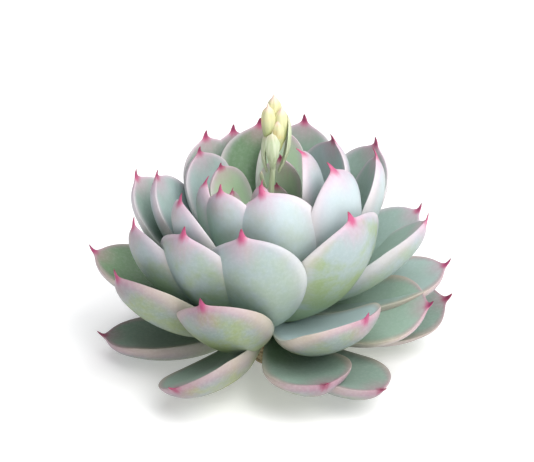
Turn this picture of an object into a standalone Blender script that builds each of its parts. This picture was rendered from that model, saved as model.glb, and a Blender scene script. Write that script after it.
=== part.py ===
"""A rosette of thick, pointed succulent leaves with a young flower stalk, cut from its roots.

Metres, +Z up. The origin is the middle of the flat cut under the short stem. The rosette rests on
that cut and on its lowest leaves. Its front is towards -Y.

Leaves are built from the heart outwards. Each one is pressed clear of the leaves before it, as
crowded leaves grow, so that no two solids meet.
"""

import math
from dataclasses import dataclass

import bmesh
import bpy
from mathutils import Matrix, Vector
from mathutils.bvhtree import BVHTree

MM = 0.001
DEGREE = math.radians(1)
UP = Vector((0, 0, 1))

# A full-grown leaf. Each leaf's own length, width and thickness are shares of these.
LEAF_LENGTH = 56 * MM
LEAF_WIDTH = 29 * MM
LEAF_THICKNESS = 7.8 * MM
SPIKE_SHARE = 0.055  # of the length, the hard point at the end of a leaf
SPIKE_RISE = 0.5  # how steeply the spike turns towards the upper face
UPPER_SHARE = 0.15  # of the thickness, above the leaf's middle line
CUP = 0.22  # how far the margins stand up, as a share of the half width
CUP_AT_TIP = 0.4  # the part of the cup that is left at the end
CUP_FADE = 0.25  # the share of the length, at the end, over which it fades
HEART_DEPTH = 0.45  # how far a leaf's heart line runs under its middle line, as a share of its depth
FOOT_SHARE = 0.1  # of the thickness, that a leaf's foot stands off the stem, so that its edge is clear

# Shares of the half width, and of the thickness, at shares of the length from the base.
OUTLINE = ((0, 0.3), (0.14, 0.44), (0.3, 0.66), (0.5, 0.89), (0.66, 1), (0.8, 0.93), (0.9, 0.7),
           (0.955, 0.4), (0.985, 0.13), (1, 0.07))
DEPTH = ((0, 0.45), (0.2, 0.76), (0.45, 1), (0.7, 0.95), (0.85, 0.8), (0.93, 0.55), (0.975, 0.24),
         (1, 0.1))

# The stem that the leaves sit on, from the cut at the bottom to its top among the heart leaves.
STEM_RADIUS = 5.6 * MM
STEM_CUT_RADIUS = 5 * MM
STEM_TOP_RADIUS = 1.8 * MM
STEM_HEIGHT = 38.5 * MM
STEM_SHOULDER = 11 * MM  # the height at which the stem starts to taper
STEM_SIDES = 20

# The flower stalk, from the stem's top up between the heart leaves to the bud head.
STALK_RADIUS = 1.1 * MM
STALK_LENGTH = 42 * MM
STALK_START = -1 * MM  # where its foot stands, to the right of the stem's middle
STALK_LEAN = 3.9  # degrees, to the right
STALK_BOW = 0.8 * MM  # how far its middle stands forward
STALK_SIDES = 8
STALK_RINGS = 9

BUD_LENGTH = 14 * MM
BUD_RADIUS = 2.7 * MM
BUD_OFFSET = 0.72  # of the radius, that a bud's foot stands off the stalk's line
BUD_SIDES = 10
BUD_PROFILE = ((0, 0.3), (0.12, 0.6), (0.35, 0.88), (0.62, 1), (0.82, 0.88), (0.94, 0.55), (1, 0.2))

CLEARANCE = 0.5 * MM  # left between a piece and the pieces that it is pressed against
THINNEST = 0.35 * MM  # the least that a pressed piece keeps on each side of its heart line
WAY_ROUNDS = 12
PART_ROUNDS = 60
PART_STEP = 0.12 * MM
PART_INWARDS = 0.5  # how much of a parting step goes towards the piece's own heart
EASE = 0.5  # the share of the way that a tangled corner is drawn towards those next to it
SETTLE_ROUNDS = 30
TOUCHING = 0.001 * MM
INSIDE_COSINE = 0.9  # a point is inside if it lies this straight behind the nearest face

# Where a leaf's rings of points stand, in shares of its length, and the points' angles round it.
LEAF_RINGS = (0, 0.14, 0.3, 0.47, 0.63, 0.77, 0.88, 0.955, 1)
LEAF_ANGLES = (0, 50, 90, 130, 180, 212, 242, 270, 298, 328)
BRACT_RINGS = (0, 0.25, 0.5, 0.75, 0.92, 1)
BRACT_ANGLES = (0, 90, 180, 235, 305)


@dataclass
class Leaf:
    """One leaf: where it stands on the stem, how it leans and curls, and its size."""

    azimuth: float  # degrees, from the front round by the right
    height: float  # mm, of its base above the floor
    lean: float  # degrees from the vertical, of the straight line from its base to its end
    curl: float  # degrees that it turns inwards from base to end
    length: float  # share of LEAF_LENGTH
    width: float  # share of LEAF_WIDTH
    roll: float = 0  # degrees about its own line
    bend: float = 0  # degrees that it curves sideways


@dataclass
class Tier:
    """Leaves of one storey of the rosette, which share a name, a thickness and colours."""

    name: str
    thickness: float  # share of LEAF_THICKNESS
    colour: tuple
    leaves: tuple


TIERS = (
    Tier("heart_leaf", 0.5, (0.24, 0.36, 0.25), (
        Leaf(260, 39.5, 22, 30, 0.48, 0.34),
        Leaf(312, 39.5, 15, 30, 0.44, 0.31),
        Leaf(160, 39.5, 12, 30, 0.45, 0.38),
        Leaf(342, 38.5, 9, 30, 0.6, 0.28),
    )),
    Tier("inner_leaf", 0.78, (0.28, 0.4, 0.3), (
        Leaf(277, 31.5, 24, 50, 0.77, 0.55),
        Leaf(304, 30.5, 21, 46, 0.79, 0.83, roll=15, bend=25),
        Leaf(248, 38, 24, 40, 0.66, 0.55, roll=-30),
        Leaf(162, 34.5, 14, 40, 0.7, 0.55),
        Leaf(86, 31, 8, 60, 0.9, 0.82, bend=18),
        Leaf(168, 32.5, 24, 46, 0.9, 0.6),
    )),
    Tier("upper_leaf", 0.95, (0.36, 0.45, 0.4), (
        Leaf(352, 25.5, 14, 50, 0.91, 1.07, bend=44),
        Leaf(65, 25.5, 19, 76, 1.02, 0.93, roll=-14, bend=22),
        Leaf(293, 27.5, 34, 50, 0.89, 0.97, bend=8),
        Leaf(232, 30.5, 33, 50, 0.88, 0.78, roll=-8),
        Leaf(186, 29.5, 28, 50, 0.98, 1.03),
        Leaf(130, 29.5, 28, 50, 0.95, 1.15, roll=-16),
        Leaf(200, 27.5, 36, 50, 1, 0.9),
        Leaf(162, 27.5, 38, 50, 1.07, 0.97),
        Leaf(217, 27.5, 36, 50, 1, 0.97),
        Leaf(111, 25, 36, 60, 1.06, 0.97, roll=-18),
        Leaf(127, 25.5, 43.5, 56, 1.11, 1),
        Leaf(256, 27.5, 42, 56, 0.95, 0.97),
        Leaf(248, 25.5, 51, 56, 1.05, 0.97),
    )),
    Tier("middle_leaf", 1, (0.42, 0.5, 0.47), (
        Leaf(344, 19, 30, 54, 0.95, 1.18, bend=26),
        Leaf(50, 19.5, 32, 48, 1.01, 1.3, roll=-4, bend=26),
        Leaf(311, 20, 37, 54, 0.95, 1.08, roll=12, bend=-12),
        Leaf(280, 22.5, 50, 66, 0.97, 1, roll=20),
        Leaf(92, 23, 58, 36, 1.04, 1, roll=-16),
        Leaf(109, 24.5, 64, 36, 1.02, 1),
        Leaf(150, 19.5, 58, 40, 1, 1),
        Leaf(190, 19.5, 56, 40, 1, 1),
    )),
    Tier("lower_leaf", 1, (0.45, 0.53, 0.5), (
        Leaf(331, 15.5, 54, 56, 0.87, 1.08, roll=14, bend=10),
        Leaf(43, 17.5, 66, 48, 0.82, 1.3, roll=-1, bend=-20),
        Leaf(291, 17.5, 62, 52, 1, 1, roll=24),
        Leaf(257, 20.5, 76, 35, 1.08, 1),
        Leaf(101, 18.5, 78, 32, 1.07, 0.97),
        Leaf(80, 17, 79, 36, 0.92, 1.14, roll=15),
        Leaf(168, 15.5, 74, 36, 1, 1),
        Leaf(212, 16.5, 72, 36, 1, 1),
        Leaf(130, 16.5, 76, 36, 1, 1),
    )),
    Tier("outer_leaf", 1, (0.42, 0.46, 0.48), (
        Leaf(22, 13.5, 85, 34, 0.79, 1, bend=-6),
        Leaf(43, 12.5, 91, 28, 0.88, 0.95, roll=-8),
        Leaf(326, 14, 88, 26, 0.9, 1.08, roll=30),
        Leaf(268, 13.5, 96, 34, 0.95, 0.95, roll=6),
        Leaf(104, 14, 89, 42, 1.07, 1.15, roll=12),
        Leaf(148, 12.5, 88, 34, 1, 0.93),
        Leaf(190, 12.5, 90, 34, 0.98, 0.93),
        Leaf(231, 12.5, 90, 34, 1, 0.93),
    )),
)


# The scale leaves up the stalk. Their heights are measured from the stalk's foot.
BRACTS = (
    Leaf(275, 27, 14, 20, 0.11, 0.08),
    Leaf(95, 32, 9, 36, 0.38, 0.2),
    Leaf(265, 32, 1, 34, 0.27, 0.2),
    Leaf(355, 34, 6, 20, 0.25, 0.18),
    Leaf(190, 34.5, 8, 20, 0.24, 0.15),
)
BRACT_THICKNESS = 0.16


@dataclass
class Bud:
    """One flower bud: which way it leans from the stalk's top, and its size."""

    azimuth: float  # degrees, from the front round by the right
    lean: float  # degrees from the vertical
    lift: float  # mm, of its foot above the stalk's top
    size: float  # share of a full bud


BUDS = (
    Bud(290, 2, 0, 0.92),
    Bud(80, 2, -1, 0.9),
    Bud(185, 4, 0.8, 0.98),
    Bud(30, 4, -3, 0.8),
)


def clear_scene():
    for thing in list(bpy.data.objects):
        bpy.data.objects.remove(thing, do_unlink=True)


def material_of(name, colour, roughness):
    """A Principled material, made once for each name."""
    found = bpy.data.materials.get(name)
    if found:
        return found
    material = bpy.data.materials.new(name)
    material.use_nodes = True
    shader = material.node_tree.nodes["Principled BSDF"]
    shader.inputs["Base Color"].default_value = (*colour, 1)
    shader.inputs["Roughness"].default_value = roughness
    shader.inputs["Metallic"].default_value = 0
    return material


def slopes_of(stops):
    """Slopes that make a smooth curve through the stops with no overshoot."""
    steps = [(b[0] - a[0], (b[1] - a[1]) / (b[0] - a[0])) for a, b in zip(stops, stops[1:])]
    slopes = [steps[0][1]]
    for (before, rise_before), (after, rise_after) in zip(steps, steps[1:]):
        if rise_before * rise_after <= 0:
            slopes.append(0)
            continue
        weight_before = 2 * after + before
        weight_after = after + 2 * before
        total = weight_before + weight_after
        slopes.append(total / (weight_before / rise_before + weight_after / rise_after))
    return slopes + [steps[-1][1]]


def profile(stops, share):
    """The smooth curve through the stops, read at a share of the length."""
    slopes = slopes_of(stops)
    for (start, low), (end, high), slope_in, slope_out in zip(stops, stops[1:], slopes, slopes[1:]):
        if share <= end:
            span = end - start
            t = (share - start) / span
            return ((2 * t**3 - 3 * t**2 + 1) * low + (t**3 - 2 * t**2 + t) * span * slope_in
                    + (3 * t**2 - 2 * t**3) * high + (t**3 - t**2) * span * slope_out)
    return stops[-1][1]


def stem_radius_at(height):
    """The stem's radius at a height above the floor."""
    share = (height - STEM_SHOULDER) / (STEM_HEIGHT - STEM_SHOULDER)
    share = min(max(share, 0), 1)
    return STEM_RADIUS + (STEM_TOP_RADIUS - STEM_RADIUS) * share


class Shape:
    """Rings of points round a line of hearts, closed by a point at each end."""

    def __init__(self, sides):
        self.sides = sides
        self.points = []
        self.hearts = []
        self.backs = []  # the way that each ring gives when something is in its place
        self.faces = []

    def add_ring(self, ring, heart, back):
        self.points += ring
        self.hearts.append(heart)
        self.backs.append(back)

    def close(self, tip):
        """Adds the foot's and the tip's points, and the triangles between all the points."""
        sides, foot_point = self.sides, len(self.points)
        last, tip_point = foot_point - sides, foot_point + 1
        self.points += [sum(self.points[:sides], Vector()) / sides, tip]
        for side in range(sides):
            following = (side + 1) % sides
            for start in range(0, last, sides):
                near, far = start + side, start + following
                self.faces += [(near, far, far + sides), (near, far + sides, near + sides)]
            self.faces += [(following, side, foot_point), (last + side, last + following, tip_point)]

    def ring_of(self, index):
        """The number of the ring that a point belongs to."""
        if index == len(self.points) - 2:
            return 0
        return min(index // self.sides, len(self.hearts) - 1)

    def give_way(self, obstacles):
        """Moves rings outwards where the heart line would run into a piece already placed."""
        room = CLEARANCE + THINNEST
        shifts = []
        for heart, back in zip(self.hearts, self.backs):
            shift = 0
            for _ in range(WAY_ROUNDS):
                depth, _ = depth_in(obstacles, heart + back * shift, LEAF_THICKNESS)
                if depth <= -room:
                    break
                shift += max(depth, 0) + room / 2
            shifts.append(shift)
        before = shifts[:1] + shifts
        after = shifts[1:] + shifts[-1:]
        moves = [back * max(shift, (last + shift + following) / 3)
                 for back, last, shift, following in zip(self.backs, before, shifts, after)]
        self.points = [point + moves[self.ring_of(index)] for index, point in enumerate(self.points)]
        self.hearts = [heart + move for heart, move in zip(self.hearts, moves)]

    def press(self, obstacles):
        """Draws the points in towards their hearts until they are clear."""
        for index, point in enumerate(self.points):
            heart = self.hearts[self.ring_of(index)]
            ray = point - heart
            _, _, _, distance = obstacles.ray_cast(heart, ray.normalized(), ray.length + CLEARANCE)
            if distance is not None:
                point = heart + ray.normalized() * max(distance - CLEARANCE, THINNEST)
            depth, way_out = depth_in(obstacles, point, CLEARANCE)
            self.points[index] = point + way_out * (depth + CLEARANCE)

    def stand_on_floor(self):
        """Lifts what would lie below the surface that the rosette rests on."""
        for point in self.points + self.hearts:
            point.z = max(point.z, 0)

    def part_from(self, obstacles, normals):
        """Moves the corners of the faces that still cross an obstacle, a step at a time."""
        for _ in range(PART_ROUNDS):
            crossings = BVHTree.FromPolygons(self.points, self.faces).overlap(obstacles)
            if not crossings:
                return
            pushes = {}
            for own, other in crossings:
                for index in self.faces[own]:
                    pushes[index] = pushes.get(index, Vector()) + normals[other]
            for index, push in pushes.items():
                inwards = (self.hearts[self.ring_of(index)] - self.points[index]).normalized()
                way = push.normalized() + inwards * PART_INWARDS
                self.points[index] = self.points[index] + way * PART_STEP

    def untangle(self):
        """Draws the corners of faces that cross each other towards the corners next to them.

        Returns whether any faces crossed.
        """
        own = BVHTree.FromPolygons(self.points, self.faces)
        tangled = set()
        for one, other in own.overlap(own):
            if not set(self.faces[one]) & set(self.faces[other]):
                tangled.update(self.faces[one] + self.faces[other])
        beside = {index: set() for index in tangled}
        for face in self.faces:
            for index in tangled.intersection(face):
                beside[index].update(face)
        moved = {index: sum((self.points[near] for near in nears), Vector()) / len(nears)
                 for index, nears in beside.items()}
        for index, point in moved.items():
            self.points[index] = self.points[index].lerp(point, EASE)
        return bool(tangled)


def depth_in(obstacles, point, reach):
    """How deep a point is inside the obstacles, less than 0 outside them, and the way out."""
    near, normal, _, distance = obstacles.find_nearest(point, reach)
    if near is None:
        return -reach, UP
    away = point - near
    if distance < TOUCHING or away.dot(normal) < -INSIDE_COSINE * distance:
        return distance, normal
    return -distance, away.normalized()


class LeafShape(Shape):
    """A leaf whose hollow upper face looks to the plant's middle."""

    def __init__(self, leaf, thickness, foot, rings, angles):
        super().__init__(len(angles))
        self.leaf = leaf
        azimuth = leaf.azimuth * DEGREE
        self.out = Vector((math.sin(azimuth), -math.cos(azimuth), 0))
        self.across = self.out.cross(UP)
        self.body = leaf.length * LEAF_LENGTH / (1 + SPIKE_SHARE)
        self.half_width = leaf.width * LEAF_WIDTH / 2
        self.thickness = thickness * LEAF_THICKNESS
        curl = leaf.curl * DEGREE
        self.start_lean = leaf.lean * DEGREE + curl / 2
        self.line_length = self.body * (curl / 2) / math.sin(curl / 2)
        self.foot = foot + self.out * (CLEARANCE + FOOT_SHARE * self.thickness)
        self.turn = Matrix.Rotation(leaf.roll * DEGREE, 3, self.point_on_line(1))
        for share in rings:
            self.add_section(share, angles)
        along, _, face = self.frame_at(1)
        reach = (along + face * SPIKE_RISE).normalized() * self.body * SPIKE_SHARE
        self.close(self.foot + self.turn @ (self.point_on_line(1) + reach))

    def frame_at(self, share):
        """The directions along the leaf, across it and out of its upper face."""
        lean = self.start_lean - self.leaf.curl * DEGREE * share
        swing = self.leaf.bend * DEGREE * (share - 0.5)
        straight = self.out * math.sin(lean) + UP * math.cos(lean)
        face = UP * math.sin(lean) - self.out * math.cos(lean)
        along = straight * math.cos(swing) + self.across * math.sin(swing)
        side = self.across * math.cos(swing) - straight * math.sin(swing)
        return along, side, face

    def point_on_line(self, share, steps=24):
        """A point of the middle line, seen from the foot, before the leaf is rolled."""
        point = Vector()
        for step in range(steps):
            point += self.frame_at(share * (step + 0.5) / steps)[0]
        return point * (self.line_length * share / steps)

    def add_section(self, share, angles):
        _, side, face = self.frame_at(share)
        middle = self.point_on_line(share)
        width = self.half_width * profile(OUTLINE, share)
        depth = self.thickness * profile(DEPTH, share)
        cup = CUP * width * (CUP_AT_TIP + (1 - CUP_AT_TIP) * min((1 - share) / CUP_FADE, 1))
        ring = []
        for angle in angles:
            across, rise = math.cos(angle * DEGREE), math.sin(angle * DEGREE)
            rise *= depth * (UPPER_SHARE if rise > 0 else 1 - UPPER_SHARE)
            point = middle + side * (width * across) + face * (rise + cup * across**2)
            ring.append(self.foot + self.turn @ point)
        heart = self.foot + self.turn @ (middle - face * (depth * HEART_DEPTH))
        back = self.turn @ -face
        back -= self.out * min(back.dot(self.out), 0)  # never in towards the stem
        self.add_ring(ring, heart, back.normalized())


class TubeShape(Shape):
    """A round piece along a list of points, with a radius at each of them."""

    def __init__(self, line, radii, sides, tip):
        super().__init__(sides)
        ends = [line[0]] + line + [tip]
        for before, point, after, radius in zip(ends, line, ends[2:], radii):
            turn = (after - before).to_track_quat("Z", "Y")
            ring = []
            for side in range(sides):
                angle = math.tau * side / sides
                ring.append(point + turn @ Vector((radius * math.cos(angle), radius * math.sin(angle), 0)))
            self.add_ring(ring, point, Vector())
        self.close(tip)


def mesh_of(name, points, faces):
    """A closed mesh of triangles that face outwards."""
    mesh = bpy.data.meshes.new(name)
    mesh.from_pydata(points, [], faces)
    work = bmesh.new()
    work.from_mesh(mesh)
    bmesh.ops.triangulate(work, faces=work.faces)
    bmesh.ops.recalc_face_normals(work, faces=work.faces)
    work.to_mesh(mesh)
    work.free()
    return mesh


class Rosette:
    """The pieces placed so far, which each new piece keeps clear of."""

    def __init__(self):
        self.points = []
        self.faces = []
        self.normals = []
        self.root = bpy.data.objects.new("rosette", None)
        bpy.context.collection.objects.link(self.root)

    def add(self, name, shape, material):
        """Presses a shape clear of the pieces that stand already, and adds it to them."""
        shape.stand_on_floor()
        if self.faces:
            obstacles = BVHTree.FromPolygons(self.points, self.faces)
            shape.give_way(obstacles)
            shape.press(obstacles)
            for _ in range(SETTLE_ROUNDS):
                shape.part_from(obstacles, self.normals)
                if not shape.untangle():
                    break
            shape.part_from(obstacles, self.normals)
        shape.stand_on_floor()
        mesh = mesh_of(name, shape.points, shape.faces)
        mesh.materials.append(material)
        piece = bpy.data.objects.new(name, mesh)
        piece.parent = self.root
        bpy.context.collection.objects.link(piece)
        start = len(self.points)
        self.points += [vertex.co.copy() for vertex in mesh.vertices]
        self.faces += [[start + index for index in face.vertices] for face in mesh.polygons]
        self.normals += [face.normal.copy() for face in mesh.polygons]


def stem_shape():
    """The short stem: a flat cut at the bottom, straight to its shoulder, then tapering."""
    heights = (0, 0.8 * MM, STEM_SHOULDER, (STEM_SHOULDER + STEM_HEIGHT) / 2, STEM_HEIGHT - 0.6 * MM)
    line = [UP * height for height in heights]
    radii = [STEM_CUT_RADIUS] + [stem_radius_at(height) for height in heights[1:]]
    return TubeShape(line, radii, STEM_SIDES, UP * STEM_HEIGHT)


def stalk_point(height):
    """A point of the stalk's middle line, at a height above its foot."""
    lean = math.tan(STALK_LEAN * DEGREE)
    bow = STALK_BOW * math.sin(math.pi * height / STALK_LENGTH)
    return Vector((STALK_START + height * lean, -bow, STEM_HEIGHT + CLEARANCE + height))


def stalk_shape():
    shares = [ring / (STALK_RINGS - 1) for ring in range(STALK_RINGS)]
    line = [stalk_point(STALK_LENGTH * share) for share in shares]
    radii = [STALK_RADIUS * (1 - 0.2 * share) for share in shares]
    return TubeShape(line, radii, STALK_SIDES, stalk_point(STALK_LENGTH + 0.4 * MM))


def bract_shape(bract):
    azimuth = bract.azimuth * DEGREE
    foot = stalk_point(bract.height * MM)
    foot += Vector((math.sin(azimuth), -math.cos(azimuth), 0)) * STALK_RADIUS
    return LeafShape(bract, BRACT_THICKNESS, foot, BRACT_RINGS, BRACT_ANGLES)


def leaf_shape(leaf, thickness):
    azimuth, height = leaf.azimuth * DEGREE, leaf.height * MM
    out = Vector((math.sin(azimuth), -math.cos(azimuth), 0))
    foot = out * stem_radius_at(height) + UP * height
    return LeafShape(leaf, thickness, foot, LEAF_RINGS, LEAF_ANGLES)


def bud_shape(bud):
    azimuth, lean = bud.azimuth * DEGREE, bud.lean * DEGREE
    out = Vector((math.sin(azimuth), -math.cos(azimuth), 0))
    way = out * math.sin(lean) + UP * math.cos(lean)
    foot = stalk_point(STALK_LENGTH) + UP * (CLEARANCE + bud.lift * MM)
    foot += out * (BUD_OFFSET * BUD_RADIUS * bud.size)
    length = BUD_LENGTH * bud.size
    line = [foot + way * (length * share) for share, _ in BUD_PROFILE]
    radii = [BUD_RADIUS * bud.size * radius for _, radius in BUD_PROFILE]
    return TubeShape(line, radii, BUD_SIDES, line[-1] + way * (0.12 * length))


def main():
    clear_scene()
    rosette = Rosette()
    rosette.add("stem", stem_shape(), material_of("stem", (0.3, 0.26, 0.17), 0.8))
    stalk_green = material_of("stalk", (0.55, 0.6, 0.36), 0.55)
    rosette.add("flower_stalk", stalk_shape(), stalk_green)
    for number, bud in enumerate(BUDS, 1):
        rosette.add(f"bud_{number}", bud_shape(bud), material_of("bud", (0.8, 0.76, 0.5), 0.5))
    for number, bract in enumerate(BRACTS, 1):
        rosette.add(f"bract_{number}", bract_shape(bract), stalk_green)
    for tier in TIERS:
        for number, leaf in enumerate(tier.leaves, 1):
            shape = leaf_shape(leaf, tier.thickness)
            rosette.add(f"{tier.name}_{number}", shape, material_of(tier.name, tier.colour, 0.5))


main()
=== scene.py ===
"""A rosette of thick, pointed succulent leaves with a young flower stalk, on a pale studio floor.

Metres, +Z up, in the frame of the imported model. The rosette stands on the flat cut under its short
stem, and its front is towards -Y.

Each leaf is a closed skin of rings round a middle line, made from the heart outwards.
"""

import logging
import math
from collections.abc import Sequence
from dataclasses import dataclass, field
from enum import Enum

import bpy
import numpy as np
from mathutils import Matrix, Vector, noise


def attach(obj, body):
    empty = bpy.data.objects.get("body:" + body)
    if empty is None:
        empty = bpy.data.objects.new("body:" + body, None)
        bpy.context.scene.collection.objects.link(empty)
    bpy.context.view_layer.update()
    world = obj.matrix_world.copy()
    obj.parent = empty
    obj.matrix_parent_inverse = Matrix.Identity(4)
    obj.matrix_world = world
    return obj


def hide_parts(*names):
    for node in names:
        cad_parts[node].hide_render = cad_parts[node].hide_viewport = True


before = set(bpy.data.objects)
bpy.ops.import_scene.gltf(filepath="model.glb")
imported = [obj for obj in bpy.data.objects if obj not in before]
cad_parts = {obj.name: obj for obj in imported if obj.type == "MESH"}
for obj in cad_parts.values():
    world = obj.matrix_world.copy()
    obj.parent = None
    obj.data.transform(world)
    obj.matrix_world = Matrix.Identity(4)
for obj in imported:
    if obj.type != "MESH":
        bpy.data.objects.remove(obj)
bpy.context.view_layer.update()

LOG = logging.getLogger("rosette")
MM = 0.001
UP = Vector((0, 0, 1))

Colour = tuple[float, float, float]
Stops = tuple[tuple[float, float], ...]

# A full-grown leaf. Each leaf's own length, width and thickness are shares of these.
LEAF_LENGTH = 56 * MM
LEAF_WIDTH = 29 * MM
LEAF_THICKNESS = 7.8 * MM
SPIKE_SHARE = 0.055
SPIKE_RISE = 0.5
SPIKE_RISE_AT_FOOT = 0.4
SPIKE_TAPER = 0.7
SPIKE_DEPTH = 0.6
UPPER_SHARE = 0.15
CUP = 0.22
CUP_AT_TIP = 0.4
CUP_FADE = 0.25
FOOT_SHARE = 0.1
FOOT_GAP = 0.5 * MM
OUTLINE: Stops = ((0, 0.3), (0.14, 0.44), (0.3, 0.66), (0.5, 0.89), (0.66, 1), (0.8, 0.93),
                  (0.9, 0.7), (0.955, 0.4), (0.985, 0.13), (1, 0.07))
DEPTH: Stops = ((0, 0.45), (0.2, 0.76), (0.45, 1), (0.7, 0.95), (0.85, 0.8), (0.93, 0.55),
                (0.975, 0.24), (1, 0.1))

STEM_RADIUS = 5.6 * MM
STEM_CUT_RADIUS = 5 * MM
STEM_TOP_RADIUS = 1.8 * MM
STEM_HEIGHT = 38.5 * MM
STEM_SHOULDER = 11 * MM
STEM_CAP = 0.6 * MM

STALK_RADIUS = 1.1 * MM
STALK_LENGTH = 42 * MM
STALK_LEAN = 3.9
STALK_START = -1 * MM
STALK_BOW = 0.8 * MM
STALK_GAP = 0.5 * MM
STALK_TAPER = 0.2
STALK_CAP = 0.4 * MM

BUD_LENGTH = 14 * MM
BUD_RADIUS = 2.7 * MM
BUD_OFFSET = 0.72
BUD_START = 0.5
BUD_CAP = 0.12
BUD_PROFILE: Stops = ((0, 0.3), (0.12, 0.6), (0.35, 0.88), (0.62, 1), (0.82, 0.88), (0.94, 0.55),
                      (1, 0.2))

# The finer shape of a leaf: its rings, its section and its skin.
BLADE_RINGS = (0, 0.05, 0.1, 0.16, 0.22, 0.28, 0.34, 0.4, 0.46, 0.52, 0.58, 0.64, 0.7, 0.75, 0.8,
               0.845, 0.88, 0.91, 0.935, 0.955, 0.972, 0.986, 1)
SPIKE_RINGS = (0.3, 0.6, 0.85)
BLADE_SIDES = 26
MARGIN_CROWDING = 0.2
MARGIN_POWER = 1.05
UPPER_POWER = 1.1
KEEL = 0.4
KEEL_START = 0.5
KEEL_END = 0.95
SKIN_WAVE = 0.14 * MM
SKIN_WAVE_SCALE = 95
SKIN_WAVE_SHIFT = 7
EDGE_WAVE = 0.02
EDGE_WAVES = 3
SUBDIVISIONS = 1


class Slot(Enum):
    """The record's material slots."""

    STEM = "stem"
    OLD_LEAF = "old_leaf"
    LEAF = "leaf"
    YOUNG_LEAF = "young_leaf"
    STALK = "stalk"
    BUD = "bud"


@dataclass(frozen=True)
class LeafPlan:
    """Where one leaf stands on the stem, how it leans and curls, its size and its colouring.

    Args:
        azimuth: Degrees, from the front round by the right.
        height: Millimetres, of its base above the floor.
        lean: Degrees from the vertical, of the straight line from base to end.
        curl: Degrees that it turns inwards from base to end.
        length: Share of LEAF_LENGTH.
        width: Share of LEAF_WIDTH.
        roll: Degrees about its own line.
        bend: Degrees that it curves sideways.
        olive: How strongly yellow-green shows through the bloom.
        blush: How strongly the margins redden.
        bloom_and_painted_light: How strongly the pale bloom covers the upper face. Its largest
            values also paint light on a face that lies in shade, and a negative value paints shade
            on it.
    """

    azimuth: float
    height: float
    lean: float
    curl: float
    length: float
    width: float
    roll: float = 0
    bend: float = 0
    olive: float = 0.35
    blush: float = 0.5
    bloom_and_painted_light: float = 0.25


# ---------------------------------------------------------------- shader maths


class Wire:
    """A shader value that can be used in Python expressions.

    Args:
        net: The material that the value belongs to.
        socket: The output socket that carries it.
    """

    def __init__(self, net: "Net", socket: bpy.types.NodeSocket) -> None:
        self.net = net
        self.socket = socket

    def _maths(self, operation: str, first: "Wire | float", second: "Wire | float") -> "Wire":
        """Adds one Math node for two operands."""
        return self.net.node("ShaderNodeMath", {"operation": operation}, {0: first, 1: second})

    def __add__(self, other: "Wire | float") -> "Wire":
        """Sum."""
        return self._maths("ADD", self, other)

    __radd__ = __add__

    def __sub__(self, other: "Wire | float") -> "Wire":
        """Difference."""
        return self._maths("SUBTRACT", self, other)

    def __rsub__(self, other: "Wire | float") -> "Wire":
        """Difference, with this value as the second operand."""
        return self._maths("SUBTRACT", other, self)

    def __mul__(self, other: "Wire | float") -> "Wire":
        """Product."""
        return self._maths("MULTIPLY", self, other)

    __rmul__ = __mul__

    def ramp(self, start: float, end: float) -> "Wire":
        """A smooth step from 0 at start to 1 at end.

        Args:
            start: The value that gives 0.
            end: The value that gives 1.

        Returns:
            The stepped value, held between 0 and 1.
        """
        settings = {"interpolation_type": "SMOOTHSTEP", "clamp": True}
        return self.net.node("ShaderNodeMapRange", settings, {0: self, 1: start, 2: end})


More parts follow.
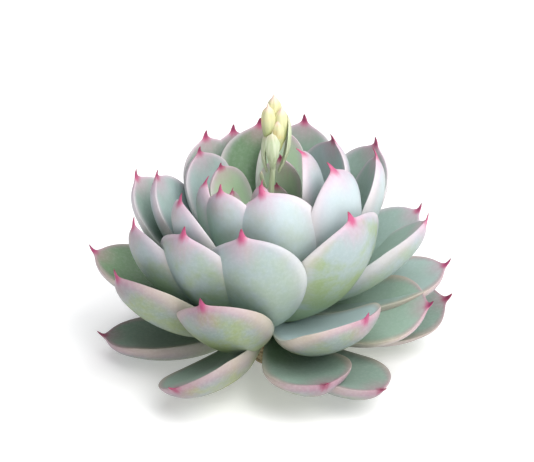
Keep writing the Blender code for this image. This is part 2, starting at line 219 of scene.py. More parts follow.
class Net:
    """One material and the nodes that are added to it.

    Args:
        name: The material's name.
    """

    def __init__(self, name: str) -> None:
        self.material = bpy.data.materials.new(name)
        self.material.use_nodes = True
        self.tree = self.material.node_tree
        self.shader = self.tree.nodes["Principled BSDF"]

    def node(self, kind: str, settings: dict, sockets: dict, output: int | str = 0) -> Wire:
        """Adds a node of any kind.

        Args:
            kind: Blender's type name.
            settings: The node's properties, which are set first.
            sockets: Values or wires by input number or name.
            output: The output that is wanted.

        Returns:
            The wanted output.
        """
        made = self.tree.nodes.new(kind)
        for key, value in settings.items():
            setattr(made, key, value)
        for key, value in sockets.items():
            self.feed(made.inputs[key], value)
        return Wire(self, made.outputs[output])

    def feed(self, socket: bpy.types.NodeSocket, value: "Wire | float | Colour") -> None:
        """Links or sets an input socket.

        Args:
            socket: The input.
            value: A wire to link, or the value to set.
        """
        if isinstance(value, Wire):
            self.tree.links.new(value.socket, socket)
        elif socket.type == "RGBA":
            socket.default_value = (*value, 1)
        else:
            socket.default_value = value

    def attribute(self, name: str, output: str = "Fac") -> Wire:
        """A value stored on the mesh."""
        return self.node("ShaderNodeAttribute", {"attribute_name": name}, {}, output)

    def mix(self, factor: Wire | float, first: Wire | Colour, second: Wire | Colour) -> Wire:
        """Blends two colours, the first at factor 0 and the second at factor 1."""
        sockets = {0: factor, 6: first, 7: second}
        return self.node("ShaderNodeMix", {"data_type": "RGBA"}, sockets, 2)

    def stretch(self, vector: Wire, scale: Colour) -> Wire:
        """Scales a vector by axis."""
        return self.node("ShaderNodeVectorMath", {"operation": "MULTIPLY"}, {0: vector, 1: scale})

    def join(self, first: Wire, second: Wire, third: Wire) -> Wire:
        """A vector of three values."""
        return self.node("ShaderNodeCombineXYZ", {}, {0: first, 1: second, 2: third})

    def noise(self, vector: Wire, scale: float, detail: float = 3, roughness: float = 0.5) -> Wire:
        """Cloudy noise, around a half."""
        sockets = {"Vector": vector, "Scale": scale, "Detail": detail, "Roughness": roughness}
        return self.node("ShaderNodeTexNoise", {}, sockets)

    def place(self) -> Wire:
        """The surface point in the object's own metres."""
        return self.node("ShaderNodeTexCoord", {}, {}, "Object")

    def bump(self, height: Wire, distance: float, strength: float = 1) -> Wire:
        """A normal that follows a height."""
        sockets = {"Height": height, "Distance": distance, "Strength": strength}
        return self.node("ShaderNodeBump", {}, sockets)

    def finish(self, colour: Wire, roughness: Wire, normal: Wire,
               **steady: float) -> bpy.types.Material:
        """Connects the surface.

        Args:
            colour: Base colour.
            roughness: Roughness.
            normal: Bumped normal.
            **steady: Values by socket name, with _ for a space, that are the same all over.

        Returns:
            The finished material.
        """
        self.feed(self.shader.inputs["Base Color"], colour)
        self.feed(self.shader.inputs["Roughness"], roughness)
        self.feed(self.shader.inputs["Normal"], normal)
        self.shader.inputs["Emission Color"].default_value = (1, 1, 1, 1)
        for key, value in steady.items():
            self.shader.inputs[key.replace("_", " ")].default_value = value
        return self.material


@dataclass(frozen=True)
class LeafFinish:
    """Waxy leaf skin under a pale bloom, with a reddened margin and a crimson point, and painted
    light and shade on its faces.

    Each cover is the most that a colour hides of what is under it. Widths are millimetres in from
    the margin, and lengths are millimetres back from the leaf's end.
    """

    name: str
    lower: Colour = (0.5, 0.59, 0.62)
    lavender: Colour = (0.6, 0.52, 0.64)
    olive: Colour = (0.33, 0.4, 0.17)
    upper: Colour = (0.23, 0.35, 0.24)
    frosted: Colour = (0.5, 0.62, 0.66)
    # Partly painted shade: the upper face's darker green at the leaf's base, low in the rosette
    # where other leaves shade it.
    deep_green_and_painted_shade: Colour = (0.1, 0.22, 0.05)
    # Partly painted light and shade: the lower face's greener tone at the leaf's base, darker on the
    # heart, inner and upper leaves and lighter on the middle and lower storeys.
    base: Colour = (0.3, 0.45, 0.2)
    rim: Colour = (0.76, 0.75, 0.76)
    peach: Colour = (0.72, 0.54, 0.52)
    pink: Colour = (0.66, 0.31, 0.46)
    crimson: Colour = (0.5, 0.06, 0.18)
    tip_end: Colour = (0.34, 0.04, 0.1)
    bloom: Colour = (0.82, 0.86, 0.88)
    olive_cover: float = 0.8
    base_cover: float = 0.55
    lavender_cover: float = 0.6
    folded_cover: float = 0.35
    rim_cover: float = 0.5
    blush_cover: float = 0.45
    flush_cover: float = 0.45
    point_cover: float = 0.9
    powder_cover: float = 0.06
    rim_width: float = 2.2
    blush_width: float = 3.8
    flush_length: float = 10
    point_length: float = 2.9
    roughness: float = 0.46
    grain_depth: float = 0.00006

    def material(self) -> bpy.types.Material:
        """Builds the finish.

        Returns:
            The leaf material.
        """
        net = Net(self.name)
        along, upper, edge, tip = (net.attribute(key) for key in ("along", "upper", "edge", "tip"))
        olive, blush, bloom_and_painted_light = (net.attribute(key) for key in ("olive", "blush", "bloom_and_painted_light"))
        blade = net.join(net.attribute("sideways"), 50 * along, 9.3 * net.attribute("number"))
        clouds = net.noise(blade, 0.11, 4, 0.6)
        patches = net.noise(blade, 0.33, 3, 0.6)
        streaks = net.noise(net.stretch(blade, (1.1, 0.09, 1)), 1, 3, 0.55)

        olive_mask = olive * (clouds + 0.35 * (0.6 - along) + 0.2 * (patches - 0.5)).ramp(0.3, 0.66)
        under = net.mix(self.olive_cover * olive_mask, self.lower, self.olive)
        # Towards its base the lower face turns greener, which is its own colour, and its lightness
        # there is painted light and shade: darker on the heart, inner and upper leaves, lighter on
        # the middle and lower storeys, whose bases lie in shade.
        under = net.mix(self.base_cover * along.ramp(0.5, 0.05), under, self.base)
        tint = self.lavender_cover * blush * edge.ramp(6, 0.5) * along.ramp(0.1, 0.6)
        under = net.mix(tint, under, self.lavender)
        # The upper face darkens towards its base: partly its own darker green, partly painted shade
        # low in the rosette.
        over = net.mix(along.ramp(0.05, 0.6), self.deep_green_and_painted_shade, self.upper)
        # Painted shade: a negative value darkens the upper face towards its dark base colour.
        over = net.mix(0 - bloom_and_painted_light, over, self.deep_green_and_painted_shade)
        # The pale bloom over the upper face, raised on some leaves as painted light on a face that
        # lies in shade.
        over = net.mix(bloom_and_painted_light * (0.55 + 0.6 * (clouds - 0.25)), over, self.frosted)
        over = net.mix(self.folded_cover * edge.ramp(4, 0.5), over, self.lower)
        skin = net.mix(upper, under, over)

        rim = edge.ramp(self.rim_width, 0)
        skin = net.mix(self.rim_cover * rim * along.ramp(0.1, 0.3), skin, self.rim)
        ragged_edge = (edge + 2 * (streaks - 0.5)).ramp(self.blush_width, 0)
        reddening = self.blush_cover * blush * along.ramp(0.2, 0.8) * ragged_edge
        skin = net.mix(reddening, skin, net.mix(tip.ramp(22, 8), self.peach, self.pink))
        flush = (tip + 3 * (streaks - 0.5)).ramp(self.flush_length, 0.5)
        skin = net.mix(self.flush_cover * flush, skin, self.pink)
        point = (tip + 1.4 * (streaks - 0.5)).ramp(self.point_length, 0.2)
        skin = net.mix(self.point_cover * point, skin, self.crimson)
        skin = net.mix(tip.ramp(-1.2, -2.8), skin, self.tip_end)
        powder = net.noise(net.place(), 900, 2, 0.6)
        dusting = self.powder_cover * powder.ramp(0.4, 0.7) * (1 - point)
        skin = net.mix(dusting, skin, self.bloom)

        grain = net.noise(net.place(), 2600, 2, 0.6)
        roughness = self.roughness + 0.18 * (clouds - 0.5) + 0.1 * (powder - 0.5)
        relief = grain + 2 * net.noise(net.place(), 420, 2, 0.5)
        normal = net.bump(relief, self.grain_depth, 0.5)
        return net.finish(skin, roughness, normal, Specular_IOR_Level=0.42)


@dataclass(frozen=True)
class StalkFinish:
    """Tender pale green skin with lengthwise streaks."""

    name: str
    colour: Colour = (0.48, 0.57, 0.34)
    pale: Colour = (0.66, 0.72, 0.52)
    blush: Colour = (0.75, 0.5, 0.42)
    roughness: float = 0.5

    def material(self) -> bpy.types.Material:
        """Builds the finish.

        Returns:
            The stalk material.
        """
        net = Net(self.name)
        along = net.attribute("along")
        streaks = net.noise(net.stretch(net.place(), (1500, 1500, 140)), 1, 3, 0.5)
        clouds = net.noise(net.place(), 260, 2, 0.5)
        skin = net.mix(streaks.ramp(0.3, 0.7), self.colour, self.pale)
        skin = net.mix(0.5 * along.ramp(0.75, 1) * clouds.ramp(0.3, 0.6), skin, self.blush)
        roughness = self.roughness + 0.2 * (clouds - 0.5)
        return net.finish(skin, roughness, net.bump(streaks, 0.00008, 0.6))


@dataclass(frozen=True)
class BudFinish:
    """Cream petals that warm to yellow, with pinkish points."""

    name: str
    cream: Colour = (0.66, 0.65, 0.37)
    gold: Colour = (0.68, 0.52, 0.2)
    pink: Colour = (0.85, 0.62, 0.55)
    green: Colour = (0.36, 0.44, 0.18)
    roughness: float = 0.45

    def material(self) -> bpy.types.Material:
        """Builds the finish.

        Returns:
            The bud material.
        """
        net = Net(self.name)
        along = net.attribute("along")
        clouds = net.noise(net.place(), 300, 2, 0.5)
        veins = net.noise(net.stretch(net.place(), (2200, 2200, 200)), 1, 2, 0.5)
        skin = net.mix(along.ramp(0.15, 0.8), self.green, self.cream)
        skin = net.mix(0.6 * clouds.ramp(0.45, 0.7), skin, self.gold)
        skin = net.mix(0.8 * along.ramp(0.85, 1), skin, self.pink)
        roughness = self.roughness + 0.2 * (clouds - 0.5)
        return net.finish(skin, roughness, net.bump(veins, 0.00006, 0.6))


@dataclass(frozen=True)
class BarkFinish:
    """Corky brown stem, dark and paler in patches."""

    name: str
    dark: Colour = (0.16, 0.11, 0.06)
    light: Colour = (0.42, 0.34, 0.2)
    roughness: float = 0.85

    def material(self) -> bpy.types.Material:
        """Builds the finish.

        Returns:
            The stem material.
        """
        net = Net(self.name)
        cork = net.noise(net.stretch(net.place(), (500, 500, 1100)), 1, 4, 0.6)
        skin = net.mix(cork.ramp(0.35, 0.65), self.dark, self.light)
        roughness = self.roughness + 0.1 * (cork - 0.5)
        return net.finish(skin, roughness, net.bump(cork, 0.0004))


@dataclass(frozen=True)
class FloorFinish:
    """Matt white studio paper."""

    name: str
    colour: Colour = (0.9, 0.9, 0.9)
    shade: Colour = (0.86, 0.86, 0.865)
    glow: float = 0.28

    def material(self) -> bpy.types.Material:
        """Builds the finish.

        Returns:
            The floor material.
        """
        net = Net(self.name)
        fibres = net.noise(net.place(), 600, 3, 0.6)
        skin = net.mix(fibres, self.colour, self.shade)
        return net.finish(skin, 0.8 + 0.1 * fibres, net.bump(fibres, 0.00002, 0.3),
                          Emission_Strength=self.glow)


# ---------------------------------------------------------------- shapes


def slopes_of(stops: Stops) -> list[float]:
    """Slopes that make a smooth curve through the stops with no overshoot.

    Args:
        stops: Points of the curve.

    Returns:
        One slope for each stop.
    """
    steps = [(b[0] - a[0], (b[1] - a[1]) / (b[0] - a[0])) for a, b in zip(stops, stops[1:])]
    slopes = [steps[0][1]]
    for (before, rise_before), (after, rise_after) in zip(steps, steps[1:]):
        if rise_before * rise_after <= 0:
            slopes.append(0)
            continue
        weight_before = 2 * after + before
        weight_after = after + 2 * before
        total = weight_before + weight_after
        slopes.append(total / (weight_before / rise_before + weight_after / rise_after))
    return slopes + [steps[-1][1]]


def profile(stops: Stops, share: float) -> float:
    """Reads the smooth curve through the stops.

    Args:
        stops: Points of the curve.
        share: Where to read it.

    Returns:
        The curve's value there.
    """
    slopes = slopes_of(stops)
    for (start, low), (end, high), slope_in, slope_out in zip(stops, stops[1:], slopes, slopes[1:]):
        if share <= end:
            span = end - start
            t = (share - start) / span
            return ((2 * t**3 - 3 * t**2 + 1) * low + (t**3 - 2 * t**2 + t) * span * slope_in
                    + (3 * t**2 - 2 * t**3) * high + (t**3 - t**2) * span * slope_out)
    return stops[-1][1]


def outwards(azimuth: float) -> Vector:
    """The level direction at an azimuth in degrees, from the front round by the right."""
    angle = math.radians(azimuth)
    return Vector((math.sin(angle), -math.cos(angle), 0))


def smooth_step(value: float, start: float, end: float) -> float:
    """A smooth step from 0 at start to 1 at end."""
    t = min(max((value - start) / (end - start), 0), 1)
    return t * t * (3 - 2 * t)


def stem_radius_at(height: float) -> float:
    """The stem's radius at a height above the floor."""
    share = (height - STEM_SHOULDER) / (STEM_HEIGHT - STEM_SHOULDER)
    return STEM_RADIUS + (STEM_TOP_RADIUS - STEM_RADIUS) * min(max(share, 0), 1)


def stalk_point(height: float) -> Vector:
    """A point of the stalk's middle line.

    Args:
        height: How far above the stalk's foot.

    Returns:
        The point.
    """
    lean = math.tan(math.radians(STALK_LEAN))
    bow = STALK_BOW * math.sin(math.pi * height / STALK_LENGTH)
    return Vector((STALK_START + height * lean, -bow, STEM_HEIGHT + STALK_GAP + height))


class Skin:
    """A closed skin: rings of points, with a point at each end.

    Args:
        rings: Arrays of points, one array for each ring.
        foot: The point that closes the first ring.
        tip: The point that closes the last ring.
    """

    clockwise: bool = False  # which way each ring runs, seen from the tip

    def __init__(self, rings: Sequence, foot: Vector, tip: Vector) -> None:
        self.grid = np.array(rings, float)
        self.ends = [Vector(foot), Vector(tip)]
        self.values: dict[str, np.ndarray] = {}

    def points(self) -> np.ndarray:
        """Every point, the rings' first and then the two ends."""
        return np.vstack([self.grid.reshape(-1, 3), np.array(self.ends)])

    def faces(self) -> list[tuple[int, ...]]:
        """The quads between rings and the triangles at the ends, facing outwards.

        Returns:
            Point numbers of each face.
        """
        rings, sides = self.grid.shape[:2]
        foot, tip, last = rings * sides, rings * sides + 1, (rings - 1) * sides
        made = []
        for side in range(sides):
            nxt = (side + 1) % sides
            for start in range(0, last, sides):
                made.append((start + side, start + nxt, start + sides + nxt, start + sides + side))
            made += [(nxt, side, foot), (last + side, last + nxt, tip)]
        return [face[::-1] for face in made] if self.clockwise else made

    def store(self, name: str, values: np.ndarray, foot: float, tip: float) -> None:
        """Keeps a value for each grid point and for the two ends."""
        self.values[name] = np.concatenate([np.asarray(values, float).ravel(), [foot, tip]])

    def on_floor(self) -> None:
        """Lifts what would lie under the floor."""
        self.grid[:, :, 2] = np.maximum(self.grid[:, :, 2], 0)


class Blade(Skin):
    """A leaf whose hollow upper face looks to the plant's middle.

    Args:
        plan: The leaf's place and size.
        thickness: Share of LEAF_THICKNESS.
        foot: Where it leaves the stem.
        number: The leaf's own number, which varies its skin.
        sides: Points in a section.
    """

    clockwise: bool = True

    def __init__(self, plan: LeafPlan, thickness: float, foot: Vector, number: int,
                 sides: int = BLADE_SIDES) -> None:
        self.plan = plan
        self.number = number
        self.out = outwards(plan.azimuth)
        self.across = self.out.cross(UP)
        self.body = plan.length * LEAF_LENGTH / (1 + SPIKE_SHARE)
        self.half_width = plan.width * LEAF_WIDTH / 2
        self.thickness = thickness * LEAF_THICKNESS
        curl = math.radians(plan.curl)
        self.start_lean = math.radians(plan.lean) + curl / 2
        self.line_length = self.body * (curl / 2) / math.sin(curl / 2)
        self.foot = foot + self.out * (FOOT_GAP + FOOT_SHARE * self.thickness)
        self.turn = Matrix.Rotation(math.radians(plan.roll), 3, self.line_at(1))
        even = np.arange(sides) * math.tau / sides
        self.angles = even - MARGIN_CROWDING * np.sin(2 * even)
        rings = [self.section(share) for share in BLADE_RINGS]
        rings += [self.spike_section(share) for share in SPIKE_RINGS]
        super().__init__(rings, Vector(np.mean(rings[0], axis=0)), self.spike_point(1))
        self.paint()

    def frame_at(self, share: float) -> tuple[Vector, Vector, Vector]:
        """The leaf's own directions, before the leaf is rolled.

        Args:
            share: Where they stand along the leaf.

        Returns:
            The directions along the leaf, across it and out of its upper face.
        """
        lean = self.start_lean - math.radians(self.plan.curl) * share
        swing = math.radians(self.plan.bend) * (share - 0.5)
        straight = self.out * math.sin(lean) + UP * math.cos(lean)
        face = UP * math.sin(lean) - self.out * math.cos(lean)
        along = straight * math.cos(swing) + self.across * math.sin(swing)
        side = self.across * math.cos(swing) - straight * math.sin(swing)
        return along, side, face

    def line_at(self, share: float, steps: int = 24) -> Vector:
        """A point of the middle line, seen from the foot, before the leaf is rolled.

        Args:
            share: Where it stands along the leaf.
            steps: How many short straight pieces the line is added up from.

        Returns:
            The point.
        """
        point = Vector()
        for step in range(steps):
            point += self.frame_at(share * (step + 0.5) / steps)[0]
        return point * (self.line_length * share / steps)

    def section(self, share: float) -> np.ndarray:
        """One ring of the leaf.

        Args:
            share: Where it stands along the leaf.

        Returns:
            Its points.
        """
        _, side, face = self.frame_at(share)
        middle = self.line_at(share)
        width = self.half_width * profile(OUTLINE, share)
        depth = self.thickness * profile(DEPTH, share)
        cup = CUP * width * (CUP_AT_TIP + (1 - CUP_AT_TIP) * min((1 - share) / CUP_FADE, 1))
        keel = KEEL * smooth_step(share, KEEL_START, KEEL_END)
        ring = []
        for angle in self.angles:
            across, rise = math.cos(angle), math.sin(angle)
            if rise > 0:
                lift = UPPER_SHARE * rise**UPPER_POWER
            else:
                rounded = abs(rise) ** MARGIN_POWER
                lift = -(1 - UPPER_SHARE) * (rounded * (1 - keel) + (1 - abs(across)) * keel)
            place = Vector((share * EDGE_WAVES, math.copysign(1, across), self.number))
            edge = 1 + EDGE_WAVE * noise.noise(place)
            raised = lift * depth + cup * across**2
            point = middle + side * (width * across * edge) + face * raised
            seed = point * SKIN_WAVE_SCALE + Vector((0, 0, SKIN_WAVE_SHIFT * self.number))
            point += face * (SKIN_WAVE * noise.noise(seed) * abs(rise))
            ring.append(self.foot + self.turn @ point)
        return np.array(ring)

    def spike_point(self, share: float) -> Vector:
        """A point of the spike's middle line.

        Args:
            share: Where it stands along the spike.

        Returns:
            The point.
        """
        along, _, face = self.frame_at(1)
        rise = SPIKE_RISE_AT_FOOT + (1 - SPIKE_RISE_AT_FOOT) * share
        reach = (along + face * SPIKE_RISE * rise).normalized()
        return self.foot + self.turn @ (self.line_at(1) + reach * (self.body * SPIKE_SHARE * share))

    def spike_section(self, share: float) -> np.ndarray:
        """One ring of the spike.

        Args:
            share: Where it stands along the spike.

        Returns:
            Its points.
        """
        _, side, face = self.frame_at(1)
        middle = self.spike_point(share)
        taper = (1 - share) ** SPIKE_TAPER
        width = self.half_width * OUTLINE[-1][1] * taper
        depth = self.thickness * DEPTH[-1][1] * taper
        side, face = self.turn @ side, self.turn @ face
        ring = [middle + side * (width * math.cos(a)) + face * (depth * SPIKE_DEPTH * math.sin(a))
                for a in self.angles]
        return np.array(ring)

    def paint(self) -> None:
        """Stores where each point lies on the leaf, for its finish."""
        shares = list(BLADE_RINGS) + [1 + SPIKE_SHARE * share for share in SPIKE_RINGS]
        along = np.repeat(np.array(shares)[:, None], len(self.angles), 1)
        across = np.repeat(np.cos(self.angles)[None, :], len(shares), 0)
        rise = np.repeat(np.sin(self.angles)[None, :], len(shares), 0)
        upper = np.where(np.abs(rise) < 1e-6, 0.5, np.where(rise > 0, 1.0, 0.0))
        wide = [self.half_width * profile(OUTLINE, share) / MM for share in shares]
        wide = np.repeat(np.array(wide)[:, None], len(self.angles), 1)
        left = (1 - along) * self.body / MM
        self.store("along", along, 0, 1 + SPIKE_SHARE)
        self.store("upper", upper, 0.5, 0.5)
        self.store("sideways", across * wide, 0, 0)
        self.store("edge", (1 - np.abs(across)) * wide, wide[0, 0], 0)
        from_tip = np.copysign(np.hypot(left, across * wide), left)
        self.store("tip", from_tip, self.body / MM, left[-1, 0])
        for key in ("olive", "blush", "bloom_and_painted_light"):
            strength = getattr(self.plan, key)
            self.store(key, along * 0 + strength, strength, strength)
        self.store("number", along * 0 + self.number, self.number, self.number)


class Tube(Skin):
    """A round piece along a line of points.

    Args:
        line: Its middle line.
        radii: Its radius at each point.
        sides: Points in a ring.
        tip: The point that closes it.
        lobes: How many lobes it has.
        groove: How deep the grooves between lobes are, as a share of the radius.
    """

    def __init__(self, line: Sequence, radii: Sequence, sides: int, tip: Vector,
                 lobes: int = 0, groove: float = 0) -> None:
        rings = []
        ends = [line[0]] + list(line) + [tip]
        for before, point, after, radius in zip(ends, line, ends[2:], radii):
            turn = (after - before).to_track_quat("Z", "Y")
            ring = []
            for side in range(sides):
                angle = math.tau * side / sides
                dent = groove * (1 - abs(math.sin(lobes * angle / 2))) ** 3 if lobes else 0
                reach = radius * (1 - dent)
                spoke = Vector((reach * math.cos(angle), reach * math.sin(angle), 0))
                ring.append(point + turn @ spoke)
            rings.append(ring)
        super().__init__(rings, line[0], tip)
        along = np.repeat(np.linspace(0, 1, len(line))[:, None], sides, 1)
        self.store("along", along, 0, 1)


# ---------------------------------------------------------------- sub-assemblies


@dataclass
class Rosette:
    """The pieces made so far."""

    made: int = 0

    def add(self, name: str, node: str, skin: Skin, material: bpy.types.Material,
            slot: Slot) -> None:
        """Makes one piece, which stands for one CAD node.

        Args:
            name: The piece's name.
            node: The CAD node that it replaces.
            skin: Its shape.
            material: Its finish.
            slot: The record's slot that it belongs to. Not used.
        """
        skin.on_floor()
        points, faces = skin.points(), skin.faces()
        mesh = bpy.data.meshes.new(name)
        mesh.from_pydata(points.tolist(), [], faces)
        mesh.shade_smooth()
        for key, values in skin.values.items():
            mesh.attributes.new(key, "FLOAT", "POINT").data.foreach_set("value", values)
        mesh.materials.append(material)
        piece = bpy.data.objects.new(name, mesh)
        bpy.context.scene.collection.objects.link(piece)
        smooth = piece.modifiers.new("smooth", "SUBSURF")
        smooth.levels = smooth.render_levels = SUBDIVISIONS
        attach(piece, "root")
        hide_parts(node)
        self.made += 1
        LOG.info("%s: %d points, for %s", name, len(points), node)


@dataclass
class Stem:
    """The short corky stem that the leaves sit on."""

    finish: BarkFinish = BarkFinish("stem_bark")
    sides: int = 28
    rings: int = 26
    dents: float = 0.04
    dent_scale: float = 700

    def build(self, rosette: Rosette) -> None:
        """Adds the stem to the rosette.

        Args:
            rosette: The pieces made so far.
        """
        heights = np.linspace(0, STEM_HEIGHT - STEM_CAP, self.rings)
        line = [UP * float(height) for height in heights]
        radii = [stem_radius_at(float(height)) for height in heights]
        radii[0] = STEM_CUT_RADIUS
        skin = Tube(line, radii, self.sides, UP * STEM_HEIGHT)
        for ring, side in np.ndindex(skin.grid.shape[:2]):
            point = Vector(skin.grid[ring, side])
            dent = self.dents * (0.5 + 0.5 * noise.noise(point * self.dent_scale))
            skin.grid[ring, side, :2] *= 1 - dent
        rosette.add("stem_bark", "stem", skin, self.finish.material(), Slot.STEM)


@dataclass
class FlowerStalk:
    """The young flower stalk with its scale leaves."""

    finish: StalkFinish = StalkFinish("stalk_skin")
    sides: int = 16
    rings: int = 28
    ribs: int = 5
    groove: float = 0.12
    first: int = 100
    bract_sides: int = 16
    bract_thickness: float = 0.16
    bracts: tuple[LeafPlan, ...] = (
        LeafPlan(275, 27, 14, 20, 0.11, 0.08, olive=0, blush=0.2),
        LeafPlan(95, 32, 9, 36, 0.38, 0.2, olive=0, blush=0.2),
        LeafPlan(265, 32, 1, 34, 0.27, 0.2, olive=0, blush=0.2),
        LeafPlan(355, 34, 6, 20, 0.25, 0.18, olive=0, blush=0.2),
        LeafPlan(190, 34.5, 8, 20, 0.24, 0.15, olive=0, blush=0.2),
    )

    def build_stalk(self, rosette: Rosette) -> bpy.types.Material:
        """Adds the stalk to the rosette.

        Args:
            rosette: The pieces made so far.

        Returns:
            The stalk's material, for the scale leaves.
        """
        shares = np.linspace(0, 1, self.rings)
        line = [stalk_point(STALK_LENGTH * float(share)) for share in shares]
        radii = [STALK_RADIUS * (1 - STALK_TAPER * float(share)) for share in shares]
        tip = stalk_point(STALK_LENGTH + STALK_CAP)
        skin = Tube(line, radii, self.sides, tip, self.ribs, self.groove)
        dressed = self.finish.material()
        rosette.add("stalk_skin", "flower_stalk", skin, dressed, Slot.STALK)
        return dressed

    def build_bracts(self, rosette: Rosette, dressed: bpy.types.Material) -> None:
        """Adds the scale leaves to the rosette.

        Args:
            rosette: The pieces made so far.
            dressed: The stalk's material.
        """
        for number, plan in enumerate(self.bracts, 1):
            foot = stalk_point(plan.height * MM) + outwards(plan.azimuth) * STALK_RADIUS
            skin = Blade(plan, self.bract_thickness, foot, self.first + number, self.bract_sides)
            rosette.add(f"bract_{number}_scale", f"bract_{number}", skin, dressed, Slot.STALK)


@dataclass(frozen=True)
class BudPlan:
    """Which way one bud leans from the stalk's top, how high its foot is, and its size."""

    azimuth: float
    lean: float
    lift: float
    size: float


@dataclass
class BudHead:
    """The compact head of flower buds."""

    finish: BudFinish = BudFinish("bud_petals")
    sides: int = 30
    rings: int = 16
    lobes: int = 5
    groove: float = 0.12
    buds: tuple[BudPlan, ...] = (
        BudPlan(290, 2, 0, 0.92),
        BudPlan(80, 2, -1, 0.9),
        BudPlan(185, 4, 0.8, 0.98),
        BudPlan(30, 4, -3, 0.8),
    )

    def build(self, rosette: Rosette) -> None:
        """Adds the buds to the rosette.

        Args:
            rosette: The pieces made so far.
        """
        dressed = self.finish.material()
        for number, plan in enumerate(self.buds, 1):
            out = outwards(plan.azimuth)
            way = out * math.sin(math.radians(plan.lean)) + UP * math.cos(math.radians(plan.lean))
            foot = stalk_point(STALK_LENGTH) + UP * (BUD_START + plan.lift) * MM
            foot += out * BUD_RADIUS * BUD_OFFSET * plan.size
            length = BUD_LENGTH * plan.size
            shares = np.linspace(0, 1, self.rings)
            line = [foot + way * (length * float(share)) for share in shares]
            widest = BUD_RADIUS * plan.size
            radii = [widest * profile(BUD_PROFILE, float(share)) for share in shares]
            tip = line[-1] + way * (BUD_CAP * length)
            skin = Tube(line, radii, self.sides, tip, self.lobes, self.groove)
            rosette.add(f"bud_{number}_petals", f"bud_{number}", skin, dressed, Slot.BUD)


@dataclass
class Storey:
    """Leaves of one storey of the rosette."""

    name: str
    thickness: float
    slot: Slot
    finish: LeafFinish
    leaves: tuple[LeafPlan, ...]
    first: int

    def build(self, rosette: Rosette) -> None:
        """Adds the storey's leaves to the rosette, in order.

        Args:
            rosette: The pieces made so far.
        """
        dressed = self.finish.material()
        for number, plan in enumerate(self.leaves, 1):
            height = plan.height * MM
            foot = outwards(plan.azimuth) * stem_radius_at(height) + UP * height
            skin = Blade(plan, self.thickness, foot, self.first + number)
            node = f"{self.name}_{number}"
            rosette.add(f"{node}_blade", node, skin, dressed, self.slot)


# Older leaves lose their pale bloom from below: their skins are duller, greener and redder. The
# darker lower faces of the middle, lower and outer storeys are also partly painted shade, low in the
# rosette where less light reaches them.
# The heart and inner leaves' upper faces are brighter and greener: partly their own young green,
# partly painted light on faces that lie in shade.
HEART_SKIN = LeafFinish("heart_leaf_skin", upper=(0.5, 0.7, 0.42), deep_green_and_painted_shade=(0.3, 0.52, 0.17))
INNER_SKIN = LeafFinish("inner_leaf_skin", upper=(0.5, 0.7, 0.42), deep_green_and_painted_shade=(0.3, 0.52, 0.17))
MIDDLE_SKIN = LeafFinish(
    "middle_leaf_skin", lower=(0.34, 0.42, 0.43), olive=(0.28, 0.37, 0.12), base=(0.42, 0.56, 0.4),
    lavender=(0.56, 0.48, 0.6), rim=(0.62, 0.65, 0.67))
LOWER_SKIN = LeafFinish(
    "lower_leaf_skin", lower=(0.24, 0.3, 0.28), olive=(0.25, 0.31, 0.09), base=(0.42, 0.54, 0.36),
    lavender=(0.42, 0.34, 0.4), rim=(0.6, 0.6, 0.5), peach=(0.5, 0.36, 0.26),
    pink=(0.46, 0.18, 0.29), crimson=(0.4, 0.04, 0.15), tip_end=(0.22, 0.02, 0.08))
OUTER_SKIN = LeafFinish(
    "outer_leaf_skin", lower=(0.23, 0.26, 0.25), olive=(0.28, 0.32, 0.09), base=(0.26, 0.38, 0.18),
    upper=(0.17, 0.26, 0.19), lavender=(0.38, 0.28, 0.35), rim=(0.5, 0.5, 0.44),
    peach=(0.38, 0.25, 0.2), pink=(0.34, 0.12, 0.2), crimson=(0.26, 0.03, 0.09))
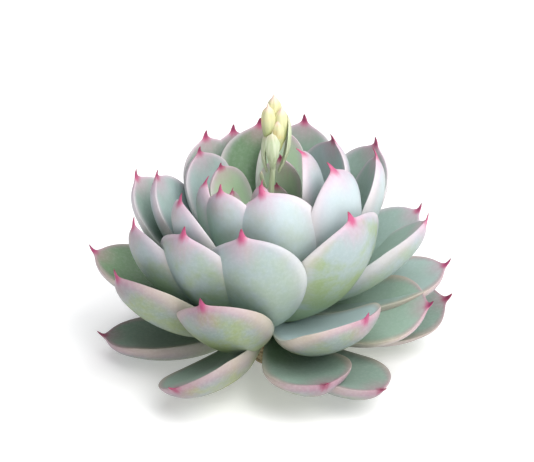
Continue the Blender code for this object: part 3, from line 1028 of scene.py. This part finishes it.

# A leaf's negative bloom value paints shade on its upper face, and its largest values paint light on
# it.
STOREYS = (
    Storey("heart_leaf", 0.5, Slot.YOUNG_LEAF, HEART_SKIN, (
        LeafPlan(260, 39.5, 22, 30, 0.48, 0.34),
        LeafPlan(312, 39.5, 15, 30, 0.44, 0.31),
        LeafPlan(160, 39.5, 12, 30, 0.45, 0.38),
        LeafPlan(342, 38.5, 9, 30, 0.6, 0.28),
    ), 0),
    Storey("inner_leaf", 0.78, Slot.YOUNG_LEAF, INNER_SKIN, (
        LeafPlan(277, 31.5, 24, 50, 0.77, 0.55),
        LeafPlan(304, 30.5, 21, 46, 0.79, 0.83, roll=15, bend=25),
        LeafPlan(248, 38, 24, 40, 0.66, 0.55, roll=-30),
        LeafPlan(162, 34.5, 14, 40, 0.7, 0.55),
        LeafPlan(86, 31, 8, 60, 0.9, 0.82, bend=18),
        LeafPlan(168, 32.5, 24, 46, 0.9, 0.6),
    ), 4),
    Storey("upper_leaf", 0.95, Slot.LEAF, LeafFinish("upper_leaf_skin"), (
        LeafPlan(352, 25.5, 14, 50, 0.91, 1.07, bend=44),
        LeafPlan(65, 25.5, 19, 76, 1.02, 0.93, roll=-14, bend=22, olive=0.1),
        LeafPlan(293, 27.5, 34, 50, 0.89, 0.97, bend=8),
        LeafPlan(232, 30.5, 33, 50, 0.88, 0.78, roll=-8, bloom_and_painted_light=0.85),
        LeafPlan(186, 29.5, 28, 50, 0.98, 1.03, bloom_and_painted_light=-0.35),
        LeafPlan(130, 29.5, 28, 50, 0.95, 1.15, roll=-16, bloom_and_painted_light=0.9),
        LeafPlan(200, 27.5, 36, 50, 1, 0.9),
        LeafPlan(162, 27.5, 38, 50, 1.07, 0.97),
        LeafPlan(217, 27.5, 36, 50, 1, 0.97),
        LeafPlan(111, 25, 36, 60, 1.06, 0.97, roll=-18, bloom_and_painted_light=0.5),
        LeafPlan(127, 25.5, 43.5, 56, 1.11, 1, bloom_and_painted_light=0.45),
        LeafPlan(256, 27.5, 42, 56, 0.95, 0.97, bloom_and_painted_light=0.85),
        LeafPlan(248, 25.5, 51, 56, 1.05, 0.97, bloom_and_painted_light=0.45),
    ), 10),
    Storey("middle_leaf", 1, Slot.LEAF, MIDDLE_SKIN, (
        LeafPlan(344, 19, 30, 54, 0.95, 1.18, bend=26, olive=0.4, blush=0.25),
        LeafPlan(50, 19.5, 32, 48, 1.01, 1.3, roll=-4, bend=26, olive=0.95),
        LeafPlan(311, 20, 37, 54, 0.95, 1.08, roll=12, bend=-12, olive=0.7),
        LeafPlan(280, 22.5, 50, 66, 0.97, 1, roll=20, olive=0.7),
        LeafPlan(92, 23, 58, 36, 1.04, 1, roll=-16, olive=0.6, bloom_and_painted_light=0.4),
        LeafPlan(109, 24.5, 64, 36, 1.02, 1, bloom_and_painted_light=0.6),
        LeafPlan(150, 19.5, 58, 40, 1, 1),
        LeafPlan(190, 19.5, 56, 40, 1, 1),
    ), 23),
    Storey("lower_leaf", 1, Slot.LEAF, LOWER_SKIN, (
        LeafPlan(331, 15.5, 54, 56, 0.87, 1.08, roll=14, bend=10, olive=0.95, blush=0.9),
        LeafPlan(43, 17.5, 66, 48, 0.82, 1.3, roll=-1, bend=-20, olive=0.8, blush=1, bloom_and_painted_light=1.7),
        LeafPlan(291, 17.5, 62, 52, 1, 1, roll=24, olive=0.8, blush=0.9),
        LeafPlan(257, 20.5, 76, 35, 1.08, 1, blush=0.8, bloom_and_painted_light=-0.5),
        LeafPlan(101, 18.5, 78, 32, 1.07, 0.97, blush=1, bloom_and_painted_light=0.7),
        LeafPlan(80, 17, 79, 36, 0.92, 1.14, roll=15, olive=0.5, blush=1, bloom_and_painted_light=0.35),
        LeafPlan(168, 15.5, 74, 36, 1, 1),
        LeafPlan(212, 16.5, 72, 36, 1, 1),
        LeafPlan(130, 16.5, 76, 36, 1, 1),
    ), 31),
    Storey("outer_leaf", 1, Slot.OLD_LEAF, OUTER_SKIN, (
        LeafPlan(22, 13.5, 85, 34, 0.79, 1, bend=-6, olive=0.7, blush=1),
        LeafPlan(43, 12.5, 91, 28, 0.88, 0.95, roll=-8, blush=0.9),
        LeafPlan(326, 14, 88, 26, 0.9, 1.08, roll=30, olive=0.9, blush=0.9),
        LeafPlan(268, 13.5, 96, 34, 0.95, 0.95, roll=6, blush=1, bloom_and_painted_light=0),
        LeafPlan(104, 14, 89, 42, 1.07, 1.15, roll=12, olive=0.9, blush=1),
        LeafPlan(148, 12.5, 88, 34, 1, 0.93),
        LeafPlan(190, 12.5, 90, 34, 0.98, 0.93),
        LeafPlan(231, 12.5, 90, 34, 1, 0.93),
    ), 40),
)


@dataclass(frozen=True)
class SoftLamp:
    """A large soft lamp that looks at the rosette."""

    name: str
    azimuth: float
    elevation: float
    distance: float
    size: float
    power: float
    colour: Colour = (1, 1, 1)

    def build(self, target: Vector) -> None:
        """Adds the lamp, turned towards the target.

        Args:
            target: The point that it looks at.
        """
        angle = math.radians(self.elevation)
        way = outwards(self.azimuth) * math.cos(angle) + UP * math.sin(angle)
        data = bpy.data.lights.new(self.name, "AREA")
        data.shape = "DISK"
        data.size = self.size
        data.energy = self.power
        data.color = self.colour
        lamp = bpy.data.objects.new(self.name, data)
        lamp.location = target + way * self.distance
        lamp.rotation_euler = (-way).to_track_quat("-Z", "Y").to_euler()
        bpy.context.scene.collection.objects.link(lamp)


@dataclass
class Studio:
    """The floor, the lamps, the sky light and the camera."""

    target: Vector = field(default_factory=lambda: Vector((0, 0, 39.5 * MM)))
    camera_elevation: float = 28
    camera_distance: float = 0.65
    lens: float = 131.5
    shift: tuple[float, float] = (-0.0037, 0.0487)
    clip: tuple[float, float] = (0.05, 20)
    floor_half: float = 3
    sky: Colour = (0.97, 0.98, 1)
    sky_strength: float = 0.26
    lamps: tuple[SoftLamp, ...] = (
        SoftLamp("key_lamp", 54, 50, 1.1, 0.9, 10.4, (1, 0.985, 0.965)),
        SoftLamp("low_lamp", 20, 6, 1.2, 0.9, 5, (0.98, 1, 0.98)),
        SoftLamp("top_lamp", 10, 80, 1.2, 0.9, 6, (0.98, 0.99, 1)),
        SoftLamp("back_lamp", 150, 45, 1.2, 0.8, 3),
    )

    def build(self) -> None:
        """Makes the floor, the lamps, the sky light and the camera."""
        self.lay_floor()
        for lamp in self.lamps:
            lamp.build(self.target)
        world = bpy.data.worlds.new("studio_sky")
        world.use_nodes = True
        background = world.node_tree.nodes["Background"]
        background.inputs["Color"].default_value = (*self.sky, 1)
        background.inputs["Strength"].default_value = self.sky_strength
        bpy.context.scene.world = world
        bpy.context.scene.view_settings.view_transform = "Standard"
        self.place_camera()

    def lay_floor(self) -> None:
        """Adds the pale floor."""
        half = self.floor_half
        mesh = bpy.data.meshes.new("studio_floor")
        corners = [(-half, -half, 0), (half, -half, 0), (half, half, 0), (-half, half, 0)]
        mesh.from_pydata(corners, [], [(0, 1, 2, 3)])
        mesh.materials.append(FloorFinish("studio_paper").material())
        floor = bpy.data.objects.new("studio_floor", mesh)
        bpy.context.scene.collection.objects.link(floor)

    def place_camera(self) -> None:
        """Adds the camera and makes it the scene's."""
        angle = math.radians(self.camera_elevation)
        back = outwards(0) * math.cos(angle) + UP * math.sin(angle)
        data = bpy.data.cameras.new("camera")
        data.lens = self.lens
        data.shift_x, data.shift_y = self.shift
        data.clip_start, data.clip_end = self.clip
        camera = bpy.data.objects.new("camera", data)
        camera.location = self.target + back * self.camera_distance
        camera.rotation_euler = (-back).to_track_quat("-Z", "Y").to_euler()
        bpy.context.scene.collection.objects.link(camera)
        bpy.context.scene.camera = camera


def main() -> None:
    """Builds the rosette from its heart outwards, and the studio round it."""
    logging.basicConfig(level=logging.INFO, format="%(name)s: %(message)s")
    rosette = Rosette()
    Stem().build(rosette)
    stalk = FlowerStalk()
    stalk_skin = stalk.build_stalk(rosette)
    BudHead().build(rosette)
    stalk.build_bracts(rosette, stalk_skin)
    for storey in STOREYS:
        storey.build(rosette)
    LOG.info("%d pieces", rosette.made)
    Studio().build()


if __name__ == "__main__":
    main()
